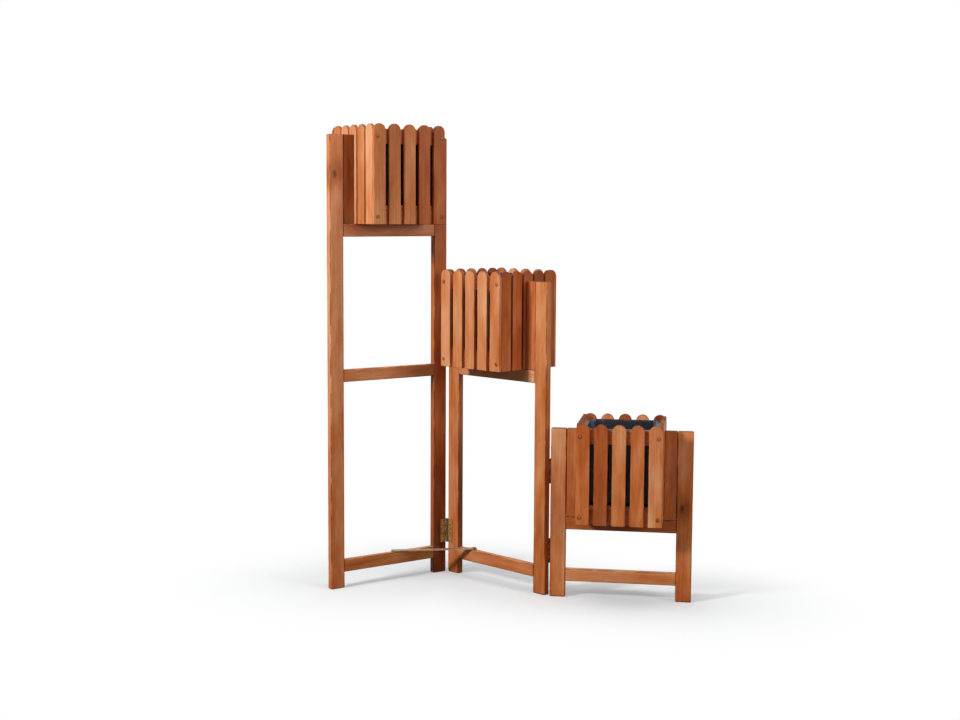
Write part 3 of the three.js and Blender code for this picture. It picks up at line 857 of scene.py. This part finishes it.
def add_liner(name, body, place, feet):
    """A bag of film: its bottom on the slats, its walls inside the battens and its rim folded over them."""
    node = name + "_planter_liner"
    low, high = own_box(node, body)
    half_x = (high.x - low.x) / 2 - LINER_LIP
    half_y = (high.y - low.y) / 2 - LINER_LIP
    bottom = low.z - feet
    rim = high.z - feet - 0.5 * MM
    seed = zlib.crc32(name.encode()) % 97
    loop = rounded_square(half_x, half_y, LINER_CORNER)
    rows = [(shrink, bottom, 0.0) for shrink in (0.92, 0.75, 0.55, 0.35, 0.18, 0.06)]
    climb = round((rim - bottom) / LINER_STEP)
    rows += [(0.0, bottom + (rim - bottom) * (i / climb), 0.0) for i in range(1, climb + 1)]
    rows += [(0.0, rim, share * LINER_LIP) for share in (0.12, 0.35, 0.6, 0.82, 0.97)]
    points = []
    for shrink, z, lip in rows:
        up = (z - bottom) / (rim - bottom)
        for x, y, corner in loop:
            points.append(film_point(x, y, z, corner, up, shrink, lip, seed))
    around = len(loop)
    faces = [tuple(reversed(range(around)))]
    for k in range(len(rows) - 1):
        for i in range(around):
            j = (i + 1) % around
            faces.append((k * around + i, k * around + j, (k + 1) * around + j, (k + 1) * around + i))
    mesh = mesh_of(node, points, faces)
    # Where the painted highlight of the corner folds goes
    fold = [corner if z > bottom and lip == 0 else 0.0 for _, z, lip in rows for _, _, corner in loop]
    mesh.attributes.new("fold", "FLOAT", "POINT").data.foreach_set("value", fold)
    liner = add_piece(node + "_bag", mesh, body, liner_film, [node], place)


def film_point(x, y, z, corner, up, shrink, lip, seed):
    """One point of the film, creased, sagging between its staples and turned out over the battens."""
    length = math.hypot(x, y)
    out = Vector((x / length, y / length, 0))
    square = max(abs(x), abs(y))
    out = Vector((round(x / square), round(y / square), 0)) if corner == 0 else out
    along = y if abs(out.x) > abs(out.y) else x
    crease = noise.noise(Vector((x * 26, y * 26, z * 9 + seed)))
    fine = noise.noise(Vector((x * 90, y * 90, z * 40 + seed)))
    inwards = (0.5 + crease) * 2.4 * MM + (0.5 + fine) * 0.7 * MM
    if corner:
        inwards += 1.2 * MM
    slack = 0.5 - 0.5 * math.cos(math.tau * along / STAPLE_PITCH)
    point = Vector((x * (1 - shrink), y * (1 - shrink), z))
    if lip > 0:
        point += out * lip
        point.z += max(0.0, fine) * 0.8 * MM
    elif shrink == 0:
        point -= out * max(0.0, inwards) * min(1.0, 4 * (1 - up))
        point.z -= slack * LINER_SAG * max(0.0, up - 0.9) * 4
    else:
        point.z += max(0.0, fine) * 1.2 * MM
    return point


# ---- Hinges ----


def leaf_mesh(length, owns_first_knuckle):
    """A hinge leaf about an axis on Z. Its plate runs to +X and its back is at y = BARREL_RADIUS."""
    outwards = Matrix.Rotation(math.pi / 2, 4, "X")
    start = 0.88 * BARREL_RADIUS
    screw_x = (BARREL_RADIUS + LEAF_WIDTH) / 2
    half = length / 2
    places = (-LEAF_SCREW_SPACING, 0.0, LEAF_SCREW_SPACING)
    soft = 1.2 * MM
    outline = [(start, -half)]
    outline += arc(LEAF_WIDTH - soft, -half + soft, soft, -90, 0, 5)
    outline += arc(LEAF_WIDTH - soft, half - soft, soft, 0, 90, 5)
    outline += [(start, half)]
    holes = [circle(screw_x, z, LEAF_SCREW_RADIUS + 0.45 * MM) for z in places]
    to_back = Matrix.Translation((0, BARREL_RADIUS, 0)) @ outwards
    parts = [(plate(outline, holes, LEAF_THICKNESS), to_back, 0)]
    backing = plate(outline, [], 2.2 * METAL_EDGE)
    parts.append((backing, to_back, 0))
    roll = [(start + 0.4 * MM, BARREL_RADIUS)]
    roll += arc(0, 0, BARREL_RADIUS, 90, 385, 34)
    roll += arc(0, 0, BARREL_RADIUS - LEAF_THICKNESS, 385, 90, 28)
    roll += [(start + 0.4 * MM, BARREL_RADIUS - LEAF_THICKNESS)]
    pitch = (length + FIT) / KNUCKLES
    knuckle = plate(roll, [], pitch - FIT)
    for i in range(0 if owns_first_knuckle else 1, KNUCKLES, 2):
        parts.append((knuckle, Matrix.Translation((0, 0, -half + i * pitch)), 0))
    head = cross_screw(LEAF_SCREW_RADIUS, LEAF_SCREW_RISE, LEAF_THICKNESS * 0.8)
    face = BARREL_RADIUS - LEAF_THICKNESS
    for i, z in enumerate(places):
        spin = Matrix.Rotation(0.7 + 1.9 * i, 4, "Y")
        parts.append((head, Matrix.Translation((screw_x, face, z)) @ spin @ outwards, 1))
    return parts


def pin_mesh(length):
    half = length / 2
    top = half + FIT
    crown = [(PIN_HEAD_RADIUS * math.cos(t), top + PIN_HEAD_HEIGHT * (0.3 + 0.7 * math.sin(t)))
             for t in np.linspace(0, 1.4, 6)]
    shaft = [(0, -half), (PIN_RADIUS * 0.8, -half), (PIN_RADIUS, -half + 0.3 * MM), (PIN_RADIUS, top)]
    return lathe([*shaft, (PIN_HEAD_RADIUS, top), *crown, (0, top + PIN_HEAD_HEIGHT)])


def add_hinges(name, turn):
    """The hinges of one fold. The fixed leaves lie on the middle frame and the swing leaves on the other."""
    body = name + "_frame"
    mirror = Matrix.Scale(-1, 4, (1, 0, 0))
    about = Matrix.Rotation(turn, 4, "Z")
    for level in ("lower", "upper"):
        title = f"{name}_{level}_hinge_"
        low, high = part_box(title + "fixed_leaf")
        axis = fold_place[body].copy()
        axis.z = (low.z + high.z) / 2
        length = high.z - low.z
        fixed = merged(title + "fixed", leaf_mesh(length, True))
        swing = merged(title + "swing", [(m, mirror @ at, head) for m, at, head in leaf_mesh(length, False)])
        still = Matrix.Translation(axis) @ about
        turned = Matrix.Translation(axis) @ axes_of(body) @ about
        for leaf, mesh, rider, place in (
            ("fixed_leaf", fixed, "middle_frame", still),
            ("swing_leaf", swing, body, turned),
            ("pin", pin_mesh(length), "middle_frame", still),
        ):
            add_piece(title + leaf + "_metal", mesh, rider, hinge_brass, [title + leaf], place)


# ---- Spreader ----


def bar_screw_mesh(foot, neck, top):
    """A round-headed screw from its foot to the neck under its head, and to its top."""
    crown = [(BAR_HEAD_RADIUS * math.cos(t), neck + (top - neck) * (0.3 + 0.7 * math.sin(t)))
             for t in np.linspace(0, 1.45, 8)]
    shaft = [(0, foot), (BAR_SCREW_RADIUS, foot), (BAR_SCREW_RADIUS, neck), (BAR_HEAD_RADIUS, neck)]
    return lathe([*shaft, *crown, (0, top)])


def add_spreader():
    pivot = middle_of("spreader_screw")
    catch = middle_of("spreader_catch")
    bar_low, bar_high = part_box("spreader_bar")
    washer_low, washer_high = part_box("spreader_washer")
    screw_low, screw_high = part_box("spreader_screw")
    catch_low, catch_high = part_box("spreader_catch")
    reach = (catch - pivot).to_2d().length
    heading = Matrix.Rotation(math.atan2(catch.y - pivot.y, catch.x - pivot.x), 4, "Z")
    at_pivot = Matrix.Translation((pivot.x, pivot.y, 0))
    at_catch = Matrix.Translation((catch.x, catch.y, 0))
    on_washer = at_pivot @ heading @ Matrix.Translation((0, 0, bar_low.z))
    on_rail = at_pivot @ Matrix.Translation((0, 0, washer_low.z))

    radius = BAR_WIDTH / 2
    outline = arc(0, 0, radius, 90, 270, 20) + arc(reach, 0, radius, -90, 90, 20)
    pivot_hole = circle(0, 0, BAR_SCREW_RADIUS + FIT)
    catch_hole = circle(reach, 0, BAR_SCREW_RADIUS + FIT)
    strip = plate(outline, [pivot_hole, catch_hole], bar_high.z - bar_low.z)
    ring = plate(circle(0, 0, WASHER_RADIUS), [pivot_hole], washer_high.z - washer_low.z)
    screw = bar_screw_mesh(screw_low.z, bar_high.z + FIT, screw_high.z)
    peg = bar_screw_mesh(catch_low.z, washer_low.z, catch_high.z)
    for node, mesh, body, slot, metal, place in (
        ("spreader_bar", strip, "spreader", "brass", bar_brass, on_washer),
        ("spreader_washer", ring, "middle_frame", "steel", steel, on_rail),
        ("spreader_screw", screw, "middle_frame", "brass", screw_brass, at_pivot),
        ("spreader_catch", peg, "tall_frame", "brass", screw_brass, at_catch),
    ):
        add_piece(node + "_metal", mesh, body, metal, [node], place)


TIERS = ("tall", "middle", "low")
for tier in TIERS:
    add_frame(tier)
    add_planter(tier)
add_hinges("tall", 0.0)
add_hinges("low", math.pi)
add_spreader()

# ---- Floor, light and camera ----

FLOOR_RADIUS = 9.0
FLOOR_STEPS = 96
FLOOR_FADE = 0.5  # how far from the bottom rails the floor turns to plain white
FLOOR_GLOW = 0.25  # the share of white under them
FLOOR_PAPER = linear(206, 208, 209)  # as the camera sees it
FLOOR_DIM = linear(96, 96, 96)  # as the stand sees it, so that it throws up less light
AMBIENT = 0.16

# Each lamp's place, what it aims at, the side of its square and its power in watts
LAMPS = {
    "key": ((-0.45, -3.2, 2.1), (0.0, 0.0, 0.6), 0.5, 125),
    "overhead": ((0.0, 0.0, 3.3), (0.0, 0.0, 0.0), 2.4, 85),
    "fill": ((3.4, 0.5, 1.35), (0.0, 0.0, 0.6), 1.1, 52),
}

# The photograph's camera, found by fitting the frames' corners to it
CAMERA_PLACE = (2.6588, -2.7135, 0.9864)
CAMERA_HEADING = math.radians(45.30)  # from +Y towards -X
CAMERA_PITCH = math.radians(5.746)  # down from level
CAMERA_ROLL = math.radians(-0.307)
CAMERA_LENS = 55.83  # millimetres, for a picture 36 mm wide


def off_rail(s, place, name):
    """How far a point of the floor is from the line below a frame's bottom rail."""
    low, high = own_box(name + "_bottom_rail", name + "_frame")
    middle = (low.y + high.y) / 2
    start = axes_of(name + "_frame") @ Vector((low.x, middle, 0))
    along = axes_of(name + "_frame") @ Vector((high.x, middle, 0)) - start
    off = s.vector("SUBTRACT", place, tuple(start))
    share = s.vector("DOT_PRODUCT", off, tuple(along), output="Value")
    share = s.math("DIVIDE", share, along.length_squared, clamp=True)
    nearest = s.add("CombineXYZ", {"X": share, "Y": share, "Z": share}).outputs[0]
    nearest = s.vector("MULTIPLY", nearest, tuple(along))
    return s.vector("DISTANCE", off, nearest, output="Value")


def add_floor_and_world():
    edge = [(x, y, 0.0) for x, y in circle(0, 0, FLOOR_RADIUS, FLOOR_STEPS)]
    disc = mesh_of("studio_floor", edge, [tuple(range(FLOOR_STEPS))])
    floor = bpy.data.objects.new("studio_floor", disc)
    bpy.context.scene.collection.objects.link(floor)
    s = Shader("studio_floor")
    place = s.add("NewGeometry", {}).outputs["Position"]
    distances = [off_rail(s, place, name) for name in TIERS]
    away = functools.reduce(lambda one, two: s.math("MINIMUM", one, two), distances)
    paper = s.add("BsdfDiffuse", {"Color": FLOOR_PAPER}).outputs[0]
    dim = s.add("BsdfDiffuse", {"Color": FLOOR_DIM}).outputs[0]
    white = s.add("Emission", {"Color": (1.0, 1.0, 1.0), "Strength": 1.0}).outputs[0]
    rays = s.add("LightPath", {}).outputs
    seen = s.math("MAXIMUM", rays["Is Camera Ray"], rays["Is Glossy Ray"])
    seen = s.math("MAXIMUM", seen, rays["Is Transmission Ray"])
    share = s.math("MULTIPLY", s.ramp(away, 0.0, FLOOR_FADE, FLOOR_GLOW, 1.0), seen)
    under = s.add("MixShader", {0: seen, 1: dim, 2: paper}).outputs[0]
    mixed = s.add("MixShader", {0: share, 1: under, 2: white}).outputs[0]
    s.tree.links.new(mixed, s.output.inputs["Surface"])
    floor.data.materials.append(s.material)

    world = bpy.data.worlds.new("studio")
    bpy.context.scene.world = world
    world.use_nodes = True
    tree = world.node_tree
    tree.nodes.clear()
    rays = tree.nodes.new("ShaderNodeLightPath").outputs
    seen = rays["Is Camera Ray"]
    for name in ("Is Glossy Ray", "Is Transmission Ray"):
        either = tree.nodes.new("ShaderNodeMath")
        either.operation = "MAXIMUM"
        tree.links.new(seen, either.inputs[0])
        tree.links.new(rays[name], either.inputs[1])
        seen = either.outputs[0]
    ambient = tree.nodes.new("ShaderNodeBackground")
    ambient.inputs["Color"].default_value = (1.0, 0.99, 0.98, 1.0)
    ambient.inputs["Strength"].default_value = AMBIENT
    backdrop = tree.nodes.new("ShaderNodeBackground")
    backdrop.inputs["Strength"].default_value = 1.0
    backdrop.inputs["Color"].default_value = (1.0, 1.0, 1.0, 1.0)
    mixed = tree.nodes.new("ShaderNodeMixShader")
    tree.links.new(seen, mixed.inputs[0])
    tree.links.new(ambient.outputs[0], mixed.inputs[1])
    tree.links.new(backdrop.outputs[0], mixed.inputs[2])
    output = tree.nodes.new("ShaderNodeOutputWorld")
    tree.links.new(mixed.outputs[0], output.inputs["Surface"])


def add_lamp(name, place, aim, side, power):
    data = bpy.data.lights.new(name, "AREA")
    data.shape = "SQUARE"
    data.size = side
    data.energy = power
    lamp = bpy.data.objects.new(name, data)
    lamp.location = place
    lamp.rotation_euler = (Vector(aim) - Vector(place)).to_track_quat("-Z", "Y").to_euler()
    bpy.context.scene.collection.objects.link(lamp)


def add_camera():
    data = bpy.data.cameras.new("camera")
    data.sensor_width = 36.0
    data.lens = CAMERA_LENS
    data.clip_end = 60.0
    camera = bpy.data.objects.new("camera", data)
    level = math.cos(CAMERA_PITCH)
    right = Vector((math.cos(CAMERA_HEADING), math.sin(CAMERA_HEADING), 0))
    look = Vector((-right.y * level, right.x * level, -math.sin(CAMERA_PITCH)))
    up = right.cross(look)
    rolled_right = right * math.cos(CAMERA_ROLL) - up * math.sin(CAMERA_ROLL)
    rolled_up = right * math.sin(CAMERA_ROLL) + up * math.cos(CAMERA_ROLL)
    turn = Matrix((rolled_right, rolled_up, -look)).transposed().to_4x4()
    camera.matrix_world = Matrix.Translation(CAMERA_PLACE) @ turn
    bpy.context.scene.collection.objects.link(camera)
    bpy.context.scene.camera = camera


add_floor_and_world()
for lamp_name, lamp in LAMPS.items():
    add_lamp(lamp_name, *lamp)
add_camera()
bpy.context.scene.view_settings.view_transform = "Standard"
